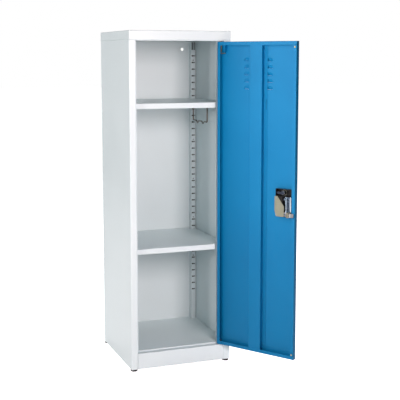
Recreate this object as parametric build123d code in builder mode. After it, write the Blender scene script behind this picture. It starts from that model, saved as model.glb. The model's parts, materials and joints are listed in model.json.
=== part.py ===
"""Single-door steel locker cabinet: folded carcass, two shelves on perforated uprights, pan door, lock."""

import os

from build123d import *

os.makedirs("parts", exist_ok=True)

# Every piece is drawn with the front face on Y = 0, the floor on Z = 0 and the door shut.
# When written, a piece is set back so that the origin is the centre of the footprint,
# and the door's pieces are first swung open about the hinge pins.

# Carcass
WIDTH = 380.0
DEPTH = 380.0
HEIGHT = 1220.0
SHEET = 0.8
BEND = 1.6
BEND_MID = BEND + SHEET / 2
BEND_OUTER = BEND + SHEET
HALF_SHEET = SHEET / 2
SIDE_MID = WIDTH / 2 - HALF_SHEET
SIDE_INNER = WIDTH / 2 - SHEET
UNDERSIDE = 7.0
CAP_HEIGHT = 32.5
CAP_LIP = 14.0
CAP_BOTTOM = HEIGHT - CAP_HEIGHT
FLANGE_WIDTH = 23.0
REAR_FLANGE = 14.0

# Door opening
OPENING_HALF = 166.0
STILE_RETURN = 22.0
LATCH_LIP_X = 158.0
HINGE_LIP_X = 144.0
STOP_LIP_MID = STILE_RETURN + HALF_SHEET
STOP_LIP_BACK = STILE_RETURN + SHEET

# Base
PLINTH_TOP = 64.5
PLINTH_GAP = 0.3
FLOOR_TOP = 69.0
FLOOR_LIP_DROP = 11.0
FOOT_INSET = 12.0
FOOT_RADIUS = 13.0
FOOT_STEM_RADIUS = 4.0
FOOT_STEM_HEIGHT = 9.0
FOOT_CLEARANCE = 0.1
FOOT_CHAMFER = 1.2
SHEET_GAP = 0.4
RETURN_GAP = 2.0
REAR_RAIL_FLANGE = 24.0

# Header rail, the channel above the door that takes the top hinge pin
HEADER_BOTTOM = 1184.5
HEADER_FRONT = 1.6
HEADER_REAR = STILE_RETURN - 3.0
HEADER_RISE = 16.0

# Back
BACK_FACE = DEPTH - SHEET
BACK_INNER = BACK_FACE - SHEET
BACK_TOP = CAP_BOTTOM - 1.1
WALL_HOLE_SPACING = 280.0
WALL_HOLE_RADIUS = 6.0
WALL_HOLE_HEIGHT = 1157.4

# Uprights
UPRIGHT_FACE_MID = 355.4
UPRIGHT_WALL = 168.9
UPRIGHT_FOOT = 162.4
UPRIGHT_LEG = 17.0
SLOT_X = 178.0
SLOT_WIDTH = 13.0
SLOT_HEIGHT = 5.0
SLOT_COUNT = 37
SLOT_PITCH = 26.15
SLOT_TOP = 1132.0
MARK_HOLE_RADIUS = 2.2
MARK_HOLE_STEP = 6
MARK_HOLE_DROP = 17.5
KEY_SLOT_WIDTH = 4.6
KEY_SLOT_SPACING = 8.0
KEY_SLOT_BOTTOM = 1155.0

# Shelves
SHELF_TOPS = {"upper": 964.5, "middle": 441.5}
SHELF_HEIGHT = 20.0
SHELF_FRONT = 25.0
SHELF_LIP = 9.0
SHELF_FRONT_RIGHT = 141.0
SHELF_NARROW_HALF = 161.5
SHELF_WIDE_HALF = 187.6
SHELF_WIDE_FRONT = 48.4
CLIP_WIDTH = 9.0
CLIP_SHEET = 1.6
CLIP_REACH = 12.0
CLIP_HOOK_DROP = 4.0
CLIP_GUSSET = 3.0
CLIP_PLAY = 0.2
SHELF_STRIP_GAP = 2.4
SHELF_BACK_GAP = 0.8

# Hanging rods
ROD_X = 145.0
ROD_RADIUS = 2.6
ROD_FRONT = 116.0
ROD_REAR = 265.0
ROD_DROP = 78.5
ROD_NOTCH_DEPTH = 8.5
ROD_NOTCHES = (160.0, 218.0)
ROD_NOTCH_HALF = 12.0
ROD_BEND = 6.0
ROD_PAD_RADIUS = 7.8
ROD_PAD_THICK = 1.5

# Door
DOOR_HALF = 164.0
DOOR_BOTTOM = 68.0
DOOR_TOP = 1182.0
DOOR_THICK = 18.0
DOOR_LIP = 13.0
DOOR_LENGTH = DOOR_TOP - DOOR_BOTTOM
DOOR_OPEN_ANGLE = 123.0
STIFFENER_HALF = 25.0
STIFFENER_FOOT = 39.0
LOUVRE_COUNT = 5
LOUVRE_PITCH = 24.5
LOUVRE_BOTTOM = 1015.0
LOUVRE_HALF = 61.0
LOUVRE_BULGE = 6.0
LOUVRE_HEIGHT = 12.5
CARD_SLIT_X = 34.0
CARD_SLIT_BOTTOM = 944.0
CARD_SLIT_TOP = 981.0
CARD_SLIT_WIDTH = 1.8
BUMPER_HEIGHTS = (86.4, 1161.7)
BUMPER_RADIUS = 3.0
BUMPER_CROWN = 1.6
BUMPER_STEM = 3.0
PLUG_HOLE_RADIUS = 1.9
PLUG_HOLE_SHIFT = 1.0
PLUG_HOLE_RISE = 8.0

# Card holder, a shallow frame on the door's outside, open at the top
HOLDER_THICK = 2.4
HOLDER_MARGIN = 2.0
HOLDER_DROP = 4.0
HOLDER_WALL = 1.0
HOLDER_BACK = 0.8
HOLDER_FACE = 0.6
HOLDER_RIM = 5.0
HOLDER_TAB = 1.0
CARD_THICK = 0.4
CARD_PLAY = 0.5

# Hinges
PIVOT_X = 156.0
PIVOT_Y = 5.0
PIN_RADIUS = 2.5
PIN_CLEARANCE = 0.08
TOP_PIN_TIP = 1187.3
TOP_PIN_TAIL = 1141.0
TAIL_RADIUS = PIN_RADIUS - 0.6
TAIL_SETBACK = 8.0
TAIL_LENGTH = 24.0
TAIL_BEND = 4.0
PIN_POINT = 1.2
BRACKET_BOTTOM = 1144.0
BRACKET_TOP = 1170.0
BRACKET_SHEET = 1.5
BRACKET_NEAR = 161.4
BRACKET_FAR = 133.0
BRACKET_REAR = DOOR_THICK - 2.4
BRACKET_PLAY = 0.4
COLLAR_BOTTOM = 1162.0
COLLAR_HEIGHT = 2.5
COLLAR_RADIUS = 3.4
SPRING_WIRE = 0.35
SPRING_COIL_RADIUS = 3.0
SPRING_TURNS = 5
PLATE_THICK = 2.0
PLATE_LENGTH = 26.0
RIVET_RADIUS = 2.2
RIVET_HEAD_RADIUS = 3.0
RIVET_HEAD_HEIGHT = 1.6
BOTTOM_COLLAR_HEIGHT = 2.4
BOTTOM_PIN_TIP = 84.0
BUSH_TOP = 79.0
BUSH_WALL = 0.8
BUSH_FLANGE = 0.6

# Lock set, left of the door's centre line as seen from outside
LOCK_HINGE_SIDE = -86.0
LOCK_FREE_SIDE = -150.0
LOCK_BOTTOM = 575.0
LOCK_TOP = 673.0
LOCK_WALL = 1.6
LOCK_RIM = 4.5
LOCK_BEZEL = 2.2
LOCK_OPENING_BOTTOM = 583.0
LOCK_BAY_TOP = 645.0
LOCK_CUP_BACK = 16.9
LOCK_CUP_BOTTOM = 592.0
LOCK_PLAY = 0.6
LOCK_CORNER = 2.0
LOCK_EDGE = 0.8
LOCK_RIB_X = -113.0
LOCK_RIB_FRONT = 2.4
PADDLE_PIVOT_X = -123.0
PADDLE_PIVOT_Y = 6.0
PADDLE_BARREL_RADIUS = 5.0
PADDLE_PIN_RADIUS = 2.0
PADDLE_FINGER_EDGE = -104.0
PADDLE_FREE_EDGE = -136.0
PADDLE_THICK = 2.4
PADDLE_SINK = 1.6
PADDLE_END_GAP = 3.0
ARM_THICK = 2.6
ARM_TIP = 17.0
ARM_LEVELS = (580.2, 587.8)
BLOCKER_TIP = 20.0
BLOCKER_LEVELS = (634.0, 641.0)
BOLT_BOTTOM = 577.2
BOLT_TOP = 590.8
BOLT_STEM_FRONT = 12.0
BOLT_STEM_REAR = 17.4
BOLT_STEM_END = -116.5
BOLT_RISER_X = -136.5
BOLT_FREE_X = -147.8
BOLT_CATCH_Y = 24.4
BOLT_BACK_Y = 30.0
BOLT_NOSE_X = -162.5
BOLT_NOSE_LENGTH = 9.0
BOLT_NOSE_FLAT = 1.0
BOLT_WINDOW_HALF = 3.9
BOLT_WINDOW_RIM = 2.4
BOLT_COIL_RADIUS = 2.2
BOLT_COIL_TURNS = 8
SPRING_SEAT_X = -95.6
GUIDE_THICK = 1.4
KEY_X = -115.0
KEY_HEIGHT = 659.0
KEY_BARREL_RADIUS = 8.0
KEY_PLUG_RADIUS = 5.5
KEY_FRONT = -4.4
KEY_RIM = 1.5
KEY_FACE_SINK = 0.6
KEY_SLOT_SIZE = (1.4, 7.0)
KEY_SLOT_DEPTH = 5.0
BARREL_REAR = 16.4
NUT_MARGIN = 3.0
NUT_THICK = 3.0
CAM_FRONT = 18.6
CAM_THICK = 1.6
CAM_LENGTH = 22.0
CAM_HALF = 4.0
SCREW_X = -90.4
SCREW_LEVELS = (581.0, 640.0)
SCREW_HEAD_RADIUS = 2.6
SCREW_HEAD_HEIGHT = 1.8
SCREW_SHANK_RADIUS = 1.3
SCREW_LENGTH = 6.0
SCREW_RECESS = (2.6, 0.6, 0.8)
BOSS_MARGIN = 1.0
FINGER_PLATE_SHEET = 1.4
FINGER_PLATE_HINGE_X = -83.0
FINGER_PLATE_NECK_X = -94.0
FINGER_PLATE_FREE_X = -120.5
FINGER_PLATE_FOOT_X = -88.0
FINGER_PLATE_TOP = 647.0
FINGER_PLATE_WAIST = 612.0
FINGER_PLATE_KNEE = 596.0
STRIKE_BOTTOM = 566.0
STRIKE_TOP = 602.0
STRIKE_SHEET = 1.2
STRIKE_CORNER = 1.2

HINGE_AXIS = Axis((PIVOT_X, PIVOT_Y, 0), (0, 0, 1))


def write_piece(piece, name, on_door=False):
    """Swing a door piece open, set any piece back on the footprint's centre, and write it."""
    placed = piece.part
    if on_door:
        placed = placed.rotate(HINGE_AXIS, DOOR_OPEN_ANGLE)
    placed = placed.translate((0, -DEPTH / 2, 0))
    placed.label = name
    export_step(placed, f"parts/{name}.step")


def write_both_sides(piece, name):
    """Write a piece of the right-hand side and its mirror image on the left."""
    write_piece(piece, f"{name}_right")
    with BuildPart() as mirrored:
        add(piece.part)
        mirror(about=Plane.YZ, mode=Mode.REPLACE)
    write_piece(mirrored, f"{name}_left")


def folded_strip(plane, points, length):
    """A strip of sheet bent along the centre line through the points, and drawn out by the length."""
    with BuildPart() as strip:
        with BuildSketch(plane):
            with BuildLine() as fold:
                FilletPolyline(*points, radius=BEND_MID)
            trace(fold.edges(), line_width=SHEET)
        extrude(amount=length)
    return strip


def box_between(low, high, mode=Mode.ADD):
    """A box from its lowest to its highest corner."""
    size = [high[i] - low[i] for i in range(3)]
    with Locations(tuple(low)):
        Box(*size, align=(Align.MIN, Align.MIN, Align.MIN), mode=mode)


def rounded_block(rectangles, inset, bottom, top, bend):
    """Joined upright boxes with bent top and bottom edges; each rectangle is (left, right, front, rear)."""
    with BuildPart() as block:
        for left, right, front, rear in rectangles:
            low = (left + inset, front + inset, bottom)
            high = (right - inset, rear - inset, top)
            box_between(low, high)
        fillet(block.edges().filter_by(Axis.Z, reverse=True), radius=bend)
    return block


def folded_tray(rectangles, height, lip):
    """A sheet tray hanging below Z = 0, with its sides folded down and a lip folded in underneath."""
    outside = rounded_block(rectangles, 0, -height, 0, BEND_OUTER)
    inside = rounded_block(rectangles, SHEET, -height + SHEET, -SHEET, BEND)
    with BuildPart() as tray:
        add(outside.part)
        add(inside.part, mode=Mode.SUBTRACT)
        for left, right, front, rear in rectangles:
            low = (left + lip, front + lip, -height)
            high = (right - lip, rear - lip, -height / 2)
            box_between(low, high, mode=Mode.SUBTRACT)
    return tray


# ---------------------------------------------------------------- side panels
foot_x = WIDTH / 2 - FOOT_INSET
foot_rows = (FOOT_INSET, DEPTH - FOOT_INSET)


def side_panel(lip_x):
    """The right-hand side, stile and stop lip folded from one sheet, with the lip's edge at the given X."""
    points = [
        (lip_x, STOP_LIP_MID),
        (OPENING_HALF + HALF_SHEET, STOP_LIP_MID),
        (OPENING_HALF + HALF_SHEET, HALF_SHEET),
        (SIDE_MID, HALF_SHEET),
        (SIDE_MID, DEPTH - HALF_SHEET),
        (SIDE_MID - REAR_FLANGE, DEPTH - HALF_SHEET),
    ]
    folded = folded_strip(Plane.XY.offset(UNDERSIDE), points, CAP_BOTTOM - UNDERSIDE)
    with BuildPart() as panel:
        add(folded.part)
        for flange_bottom in (UNDERSIDE, CAP_BOTTOM - SHEET):
            flange_low = (SIDE_MID - FLANGE_WIDTH, HALF_SHEET, flange_bottom)
            flange_high = (SIDE_MID, DEPTH - HALF_SHEET, flange_bottom + SHEET)
            box_between(flange_low, flange_high)
        with Locations(*[(foot_x, row, UNDERSIDE) for row in foot_rows]):
            Cylinder(FOOT_STEM_RADIUS + FOOT_CLEARANCE, 4 * SHEET, mode=Mode.SUBTRACT)
    return panel


write_piece(side_panel(HINGE_LIP_X), "side_panel_right")
with BuildPart() as side_panel_left:
    add(side_panel(LATCH_LIP_X).part)
    mirror(about=Plane.YZ, mode=Mode.REPLACE)
write_piece(side_panel_left, "side_panel_left")

# ---------------------------------------------------------------- back panel
with BuildPart() as back_panel:
    back_half = SIDE_INNER - BEND
    box_between((-back_half, BACK_INNER, UNDERSIDE + 1), (back_half, BACK_FACE, BACK_TOP))
    # the top edge rises between the side panels' flanges, up against the cap's lip
    edge_half = SIDE_MID - FLANGE_WIDTH - SHEET_GAP
    box_between((-edge_half, BACK_INNER, BACK_TOP - 1), (edge_half, BACK_FACE, CAP_BOTTOM - PIN_CLEARANCE))
    with BuildSketch(Plane.XZ.offset(-DEPTH)):
        with Locations((0, WALL_HOLE_HEIGHT)):
            with GridLocations(WALL_HOLE_SPACING, 1, 2, 1):
                Circle(WALL_HOLE_RADIUS)
    extrude(amount=2 * BEND_OUTER, mode=Mode.SUBTRACT)
write_piece(back_panel, "back_panel")

# ---------------------------------------------------------------- top cap
cap_tray = folded_tray([(-WIDTH / 2, WIDTH / 2, 0, DEPTH)], CAP_HEIGHT, CAP_LIP)
with BuildPart() as top_cap:
    add(cap_tray.part.translate((0, 0, HEIGHT)))
write_piece(top_cap, "top_cap")

# ---------------------------------------------------------------- header rail
rail_half = OPENING_HALF - PLINTH_GAP
header_points = [
    (HEADER_FRONT, CAP_BOTTOM),
    (HEADER_FRONT, HEADER_BOTTOM + HALF_SHEET),
    (HEADER_REAR, HEADER_BOTTOM + HALF_SHEET),
    (HEADER_REAR, CAP_BOTTOM + HEADER_RISE),
]
with BuildPart() as header_rail:
    with BuildSketch(Plane.YZ.offset(-rail_half)):
        with BuildLine() as header_fold:
            FilletPolyline(*header_points, radius=BEND_OUTER / 2)
        trace(header_fold.edges(), line_width=SHEET)
    extrude(amount=2 * rail_half)
    with Locations((PIVOT_X, PIVOT_Y, HEADER_BOTTOM)):
        Cylinder(PIN_RADIUS + PIN_CLEARANCE, 4 * SHEET, mode=Mode.SUBTRACT)
write_piece(header_rail, "header_rail")

# ---------------------------------------------------------------- base
plinth_points = [
    (STILE_RETURN - RETURN_GAP, UNDERSIDE + HALF_SHEET),
    (HALF_SHEET, UNDERSIDE + HALF_SHEET),
    (HALF_SHEET, PLINTH_TOP - HALF_SHEET),
    (STILE_RETURN, PLINTH_TOP - HALF_SHEET),
]
folded_plinth = folded_strip(Plane.YZ.offset(-rail_half), plinth_points, 2 * rail_half)
with BuildPart() as plinth:
    add(folded_plinth.part)
    with Locations((PIVOT_X, PIVOT_Y, PLINTH_TOP)):
        Cylinder(RIVET_RADIUS, 4 * SHEET, mode=Mode.SUBTRACT)
    # notches clear the bends between the stiles and their stop lips
    for side in (-1, 1):
        with Locations((side * rail_half, STILE_RETURN, PLINTH_TOP)):
            Box(2 * BEND, 2 * BEND_OUTER, 4 * SHEET, mode=Mode.SUBTRACT)
write_piece(plinth, "plinth")

floor_points = [
    (STOP_LIP_MID, FLOOR_TOP - FLOOR_LIP_DROP),
    (STOP_LIP_MID, FLOOR_TOP - HALF_SHEET),
    (BACK_INNER - SHEET_GAP, FLOOR_TOP - HALF_SHEET),
]
nose_left = -LATCH_LIP_X + SHEET_GAP
nose_right = HINGE_LIP_X - SHEET_GAP
folded_floor = folded_strip(Plane.YZ.offset(nose_left), floor_points, nose_right - nose_left)
with BuildPart() as floor_pan:
    add(folded_floor.part)
    floor_low = (-SIDE_INNER + SHEET_GAP, STOP_LIP_BACK + SHEET_GAP, FLOOR_TOP - SHEET)
    floor_high = (SIDE_INNER - SHEET_GAP, BACK_INNER - SHEET_GAP, FLOOR_TOP)
    box_between(floor_low, floor_high)
write_piece(floor_pan, "floor_pan")

rear_rail_back = BACK_INNER - HALF_SHEET
rear_rail_points = [
    (rear_rail_back - REAR_RAIL_FLANGE, UNDERSIDE + SHEET + HALF_SHEET),
    (rear_rail_back, UNDERSIDE + SHEET + HALF_SHEET),
    (rear_rail_back, FLOOR_TOP - SHEET - HALF_SHEET),
    (rear_rail_back - REAR_RAIL_FLANGE, FLOOR_TOP - SHEET - HALF_SHEET),
]
rear_rail_half = SIDE_INNER - FLANGE_WIDTH - RETURN_GAP
rear_base_rail = folded_strip(Plane.YZ.offset(-rear_rail_half), rear_rail_points, 2 * rear_rail_half)
write_piece(rear_base_rail, "rear_base_rail")

with BuildPart() as corner_feet:
    with Locations(*[(side * foot_x, row, 0) for side in (-1, 1) for row in foot_rows]):
        Cylinder(FOOT_RADIUS, UNDERSIDE, align=(Align.CENTER, Align.CENTER, Align.MIN))
        stem_height = UNDERSIDE + FOOT_STEM_HEIGHT
        Cylinder(FOOT_STEM_RADIUS, stem_height, align=(Align.CENTER, Align.CENTER, Align.MIN))
    chamfer(corner_feet.edges().filter_by(GeomType.CIRCLE).group_by(Axis.Z)[0], length=FOOT_CHAMFER)
write_piece(corner_feet, "corner_feet")

# ---------------------------------------------------------------- uprights
upright_points = [
    (UPRIGHT_FOOT, rear_rail_back),
    (UPRIGHT_WALL, rear_rail_back),
    (UPRIGHT_WALL, UPRIGHT_FACE_MID),
    (SIDE_INNER - HALF_SHEET, UPRIGHT_FACE_MID),
    (SIDE_INNER - HALF_SHEET, UPRIGHT_FACE_MID + UPRIGHT_LEG),
]
folded_upright = folded_strip(Plane.XY.offset(FLOOR_TOP), upright_points, BACK_TOP - FLOOR_TOP)
slot_heights = [SLOT_TOP - index * SLOT_PITCH for index in range(SLOT_COUNT)]
mark_heights = [height - MARK_HOLE_DROP for height in slot_heights[::MARK_HOLE_STEP][:-1]]
with BuildPart() as rear_upright:
    add(folded_upright.part)
    with BuildSketch(Plane.XZ.offset(-UPRIGHT_FACE_MID + BEND)):
        with Locations(*[(SLOT_X, height) for height in slot_heights]):
            SlotOverall(SLOT_WIDTH, SLOT_HEIGHT)
        with Locations(*[(SLOT_X, height) for height in mark_heights]):
            Circle(MARK_HOLE_RADIUS)
        with Locations((SLOT_X, KEY_SLOT_BOTTOM)):
            with GridLocations(KEY_SLOT_SPACING, 1, 2, 1):
                Rectangle(KEY_SLOT_WIDTH, CAP_BOTTOM - KEY_SLOT_BOTTOM, align=(Align.CENTER, Align.MIN))
    extrude(amount=-2 * BEND, mode=Mode.SUBTRACT)
write_both_sides(rear_upright, "rear_upright")

# The front uprights are the same strips turned to face the rear, behind the stop lips.
upright_mirror_y = (rear_rail_back + STOP_LIP_BACK + HALF_SHEET) / 2
with BuildPart() as front_upright:
    add(rear_upright.part)
    mirror(about=Plane.XZ.offset(-upright_mirror_y), mode=Mode.REPLACE)
write_both_sides(front_upright, "front_upright")

# ---------------------------------------------------------------- shelves and their clips
shelf_middle_y = (SHELF_FRONT + BACK_INNER) / 2
shelf_outline = [
    (-SHELF_NARROW_HALF, SHELF_FRONT_RIGHT, SHELF_FRONT, shelf_middle_y),
    (-SHELF_WIDE_HALF, SHELF_WIDE_HALF, SHELF_WIDE_FRONT, UPRIGHT_FACE_MID - SHELF_STRIP_GAP),
    (-SHELF_NARROW_HALF, SHELF_NARROW_HALF, shelf_middle_y, BACK_INNER - SHELF_BACK_GAP),
]
shelf_tray = folded_tray(shelf_outline, SHELF_HEIGHT, SHELF_LIP)

# One clip, with its tongue hooked through a slot and its ledge under the shelf.
strip_face = UPRIGHT_FACE_MID - HALF_SHEET
clip_plane = Plane.YZ.offset(SLOT_X - CLIP_WIDTH / 2)


def shelf_clip(shelf_bottom):
    """The bent clip of the right-hand rear upright, under a shelf whose underside is given."""
    slot = min(slot_heights, key=lambda height: abs(height - shelf_bottom - SLOT_HEIGHT))
    tongue_top = slot + SLOT_HEIGHT / 2 - 2 * CLIP_PLAY
    hook_front = strip_face + SHEET + CLIP_PLAY
    hook_bottom = tongue_top - CLIP_HOOK_DROP - CLIP_SHEET
    with BuildPart() as clip:
        with BuildSketch(clip_plane):
            with BuildLine():
                Polyline(
                    (strip_face - CLIP_REACH, shelf_bottom),
                    (strip_face - CLIP_REACH, shelf_bottom - CLIP_SHEET),
                    (strip_face, shelf_bottom - CLIP_SHEET - CLIP_GUSSET),
                    (strip_face, tongue_top - CLIP_SHEET),
                    (hook_front, tongue_top - CLIP_SHEET),
                    (hook_front, hook_bottom),
                    (hook_front + CLIP_SHEET, hook_bottom),
                    (hook_front + CLIP_SHEET, tongue_top),
                    (strip_face - CLIP_SHEET, tongue_top),
                    (strip_face - CLIP_SHEET, shelf_bottom),
                    close=True,
                )
            make_face()
        extrude(amount=CLIP_WIDTH)
        mirror(about=Plane.XZ.offset(-upright_mirror_y))
        mirror(about=Plane.YZ)
    return clip


for shelf_name, shelf_height in SHELF_TOPS.items():
    with BuildPart() as shelf:
        add(shelf_tray.part.translate((0, 0, shelf_height)))
    write_piece(shelf, f"{shelf_name}_shelf")
    write_piece(shelf_clip(shelf_height - SHELF_HEIGHT), f"{shelf_name}_shelf_clips")

# ---------------------------------------------------------------- hanging rods
rod_top = SHELF_TOPS["upper"] - SHEET
rod_level = SHELF_TOPS["upper"] - ROD_DROP
rod_points = [(ROD_FRONT, rod_top), (ROD_FRONT, rod_level)]
for notch in ROD_NOTCHES:
    rod_points += [
        (notch - ROD_NOTCH_HALF, rod_level),
        (notch, rod_level - ROD_NOTCH_DEPTH),
        (notch + ROD_NOTCH_HALF, rod_level),
    ]
rod_points += [(ROD_REAR, rod_level), (ROD_REAR, rod_top)]
with BuildPart() as hanging_rod:
    with BuildLine(Plane.YZ.offset(ROD_X)) as rod_path:
        FilletPolyline(*rod_points, radius=ROD_BEND)
    with BuildSketch(Plane.XY.offset(rod_top)):
        with Locations((ROD_X, ROD_FRONT)):
            Circle(ROD_RADIUS)
    sweep(path=rod_path.wire())
    with Locations(*[(ROD_X, row, rod_top) for row in (ROD_FRONT, ROD_REAR)]):
        Cylinder(ROD_PAD_RADIUS, ROD_PAD_THICK, align=(Align.CENTER, Align.CENTER, Align.MAX))
write_both_sides(hanging_rod, "hanging_rod")

# ---------------------------------------------------------------- door pan
door_tray = folded_tray([(-DOOR_HALF, DOOR_HALF, DOOR_BOTTOM, DOOR_TOP)], DOOR_THICK, DOOR_LIP)

# A louvre is the part of a round-ended bar that stands proud of the skin above the bar's axis.
louvre_depth = (LOUVRE_HEIGHT**2 - LOUVRE_BULGE**2) / (2 * LOUVRE_BULGE)
louvre_radius = louvre_depth + LOUVRE_BULGE
louvre_levels = [LOUVRE_BOTTOM + index * LOUVRE_PITCH for index in range(LOUVRE_COUNT)]


def louvre_bar(radius, rear):
    """The round-ended bar cut off below its axis and behind the rear face, for one louvre at Z = 0."""
    bar_half = LOUVRE_HALF - LOUVRE_HEIGHT
    with BuildPart() as bar:
        with Locations((0, louvre_depth, 0)):
            Cylinder(radius, 2 * bar_half, rotation=(0, 90, 0))
        with Locations((-bar_half, louvre_depth, 0), (bar_half, louvre_depth, 0)):
            Sphere(radius)
        keep_low = (-2 * LOUVRE_HALF, -2 * LOUVRE_BULGE, 0)
        keep_high = (2 * LOUVRE_HALF, rear, 2 * LOUVRE_HEIGHT)
        box_between(keep_low, keep_high, mode=Mode.INTERSECT)
    return bar


louvre_hood = louvre_bar(louvre_radius, SHEET)
louvre_pocket = louvre_bar(louvre_radius - SHEET, 2 * SHEET)
lock_opening_low = (LOCK_FREE_SIDE, -1, LOCK_BOTTOM)
lock_opening_high = (LOCK_HINGE_SIDE, 1 + SHEET, LOCK_TOP)
slit_low = (-CARD_SLIT_WIDTH / 2, -1, CARD_SLIT_BOTTOM)
slit_high = (CARD_SLIT_WIDTH / 2, 2 * SHEET + 1, CARD_SLIT_TOP)
bush_radius = PIN_RADIUS + BUSH_WALL
lip_mid_x = DOOR_HALF - DOOR_LIP / 2
hinge_wall_top = (PIVOT_X, PIVOT_Y, DOOR_TOP - HALF_SHEET)
hinge_wall_bottom = (PIVOT_X, PIVOT_Y, DOOR_BOTTOM + HALF_SHEET)

with BuildPart() as door_skin:
    add(door_tray.part.rotate(Axis.X, 90))
    for level in louvre_levels:
        add(louvre_hood.part.translate((0, 0, level)))
    for level in louvre_levels:
        add(louvre_pocket.part.translate((0, 0, level)), mode=Mode.SUBTRACT)
    box_between(lock_opening_low, lock_opening_high, mode=Mode.SUBTRACT)
    for side in (-1, 1):
        low = (slit_low[0] + side * CARD_SLIT_X, slit_low[1], slit_low[2])
        high = (slit_high[0] + side * CARD_SLIT_X, slit_high[1], slit_high[2])
        box_between(low, high, mode=Mode.SUBTRACT)
    with Locations(hinge_wall_top):
        Cylinder(PIN_RADIUS + PIN_CLEARANCE, 4 * SHEET, mode=Mode.SUBTRACT)
    with Locations(hinge_wall_bottom):
        Cylinder(bush_radius, 4 * SHEET, mode=Mode.SUBTRACT)
    with BuildSketch(Plane.XZ.offset(-DOOR_THICK - 1)):
        for height in BUMPER_HEIGHTS:
            with Locations((-lip_mid_x, height)):
                Circle(BUMPER_RADIUS / 2)
            plug_hole_height = height + PLUG_HOLE_RISE
            plug_hole_x = lip_mid_x + PLUG_HOLE_SHIFT
            with Locations((-plug_hole_x, plug_hole_height), (plug_hole_x, plug_hole_height)):
                Circle(PLUG_HOLE_RADIUS)
    extrude(amount=DOOR_LIP / 4, mode=Mode.SUBTRACT)
write_piece(door_skin, "door_skin", on_door=True)

stiffener_foot_mid = SHEET + HALF_SHEET
stiffener_crown_mid = DOOR_THICK - SHEET - HALF_SHEET
stiffener_points = [
    (-STIFFENER_FOOT, stiffener_foot_mid),
    (-STIFFENER_HALF, stiffener_foot_mid),
    (-STIFFENER_HALF, stiffener_crown_mid),
    (STIFFENER_HALF, stiffener_crown_mid),
    (STIFFENER_HALF, stiffener_foot_mid),
    (STIFFENER_FOOT, stiffener_foot_mid),
]
stiffener_plane = Plane.XY.offset(DOOR_BOTTOM + BEND_OUTER)
folded_stiffener = folded_strip(stiffener_plane, stiffener_points, DOOR_LENGTH - 2 * BEND_OUTER)
with BuildPart() as door_stiffener:
    add(folded_stiffener.part)
    low = (slit_low[0] - CARD_SLIT_X, slit_low[1], slit_low[2])
    high = (slit_high[0] - CARD_SLIT_X, slit_high[1], slit_high[2])
    box_between(low, high, mode=Mode.SUBTRACT)
write_piece(door_stiffener, "door_stiffener", on_door=True)

with BuildPart() as door_bumpers:
    for height in BUMPER_HEIGHTS:
        with BuildSketch(Plane.XZ.offset(-DOOR_THICK)):
            with Locations((-lip_mid_x, height)):
                Circle(BUMPER_RADIUS)
        extrude(amount=-BUMPER_CROWN)
        with BuildSketch(Plane.XZ.offset(-DOOR_THICK)):
            with Locations((-lip_mid_x, height)):
                Circle(BUMPER_RADIUS / 2)
        extrude(amount=BUMPER_STEM)
write_piece(door_bumpers, "door_bumpers", on_door=True)

# ---------------------------------------------------------------- card holder on the outside
holder_half = CARD_SLIT_X + CARD_SLIT_WIDTH / 2 + HOLDER_MARGIN
holder_top = CARD_SLIT_TOP + HOLDER_MARGIN
pocket_half = holder_half - HOLDER_WALL
pocket_bottom = CARD_SLIT_BOTTOM - HOLDER_DROP + HOLDER_WALL
pocket_front = HOLDER_FACE - HOLDER_THICK
window_half = holder_half - HOLDER_RIM
open_top = holder_top + 1
with BuildPart() as card_holder:
    box_between((-holder_half, -HOLDER_THICK, CARD_SLIT_BOTTOM - HOLDER_DROP), (holder_half, 0, holder_top))
    pocket_low = (-pocket_half, pocket_front, pocket_bottom)
    box_between(pocket_low, (pocket_half, -HOLDER_BACK, open_top), mode=Mode.SUBTRACT)
    window_low = (-window_half, -HOLDER_THICK - 1, CARD_SLIT_BOTTOM)
    box_between(window_low, (window_half, -HOLDER_BACK, open_top), mode=Mode.SUBTRACT)
    for side in (-1, 1):
        tab_near = side * CARD_SLIT_X - HOLDER_TAB / 2
        tab_low = (tab_near, -HOLDER_BACK / 2, CARD_SLIT_BOTTOM + HOLDER_MARGIN)
        tab_high = (tab_near + HOLDER_TAB, SHEET, CARD_SLIT_TOP - HOLDER_MARGIN)
        box_between(tab_low, tab_high)
write_piece(card_holder, "card_holder", on_door=True)

with BuildPart() as blank_card:
    card_half = pocket_half - CARD_PLAY
    card_front = pocket_front + (HOLDER_THICK - HOLDER_FACE - HOLDER_BACK - CARD_THICK) / 2
    card_low = (-card_half, card_front, pocket_bottom + CARD_PLAY)
    box_between(card_low, (card_half, card_front + CARD_THICK, holder_top - 1))
write_piece(blank_card, "blank_card", on_door=True)

# ---------------------------------------------------------------- top hinge: spring pin in its bracket
with BuildPart() as top_hinge_bracket:
    web_high = (BRACKET_NEAR, SHEET + BRACKET_SHEET, BRACKET_TOP)
    box_between((BRACKET_FAR, SHEET, BRACKET_BOTTOM), web_high)
    for leg_bottom in (BRACKET_BOTTOM, BRACKET_TOP - BRACKET_SHEET):
        leg_high = (BRACKET_NEAR, BRACKET_REAR, leg_bottom + BRACKET_SHEET)
        box_between((BRACKET_FAR, SHEET, leg_bottom), leg_high)
    wall_high = (BRACKET_FAR + BRACKET_SHEET, BRACKET_REAR, BRACKET_TOP)
    box_between((BRACKET_FAR, SHEET, BRACKET_BOTTOM), wall_high)
    bracket_height = BRACKET_TOP - BRACKET_BOTTOM
    with Locations((PIVOT_X, PIVOT_Y, BRACKET_BOTTOM + bracket_height / 2)):
        Cylinder(COLLAR_RADIUS + BRACKET_PLAY, bracket_height - 2 * BRACKET_SHEET, mode=Mode.SUBTRACT)
        Cylinder(PIN_RADIUS + PIN_CLEARANCE, 2 * bracket_height, mode=Mode.SUBTRACT)
write_piece(top_hinge_bracket, "top_hinge_bracket", on_door=True)

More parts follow.
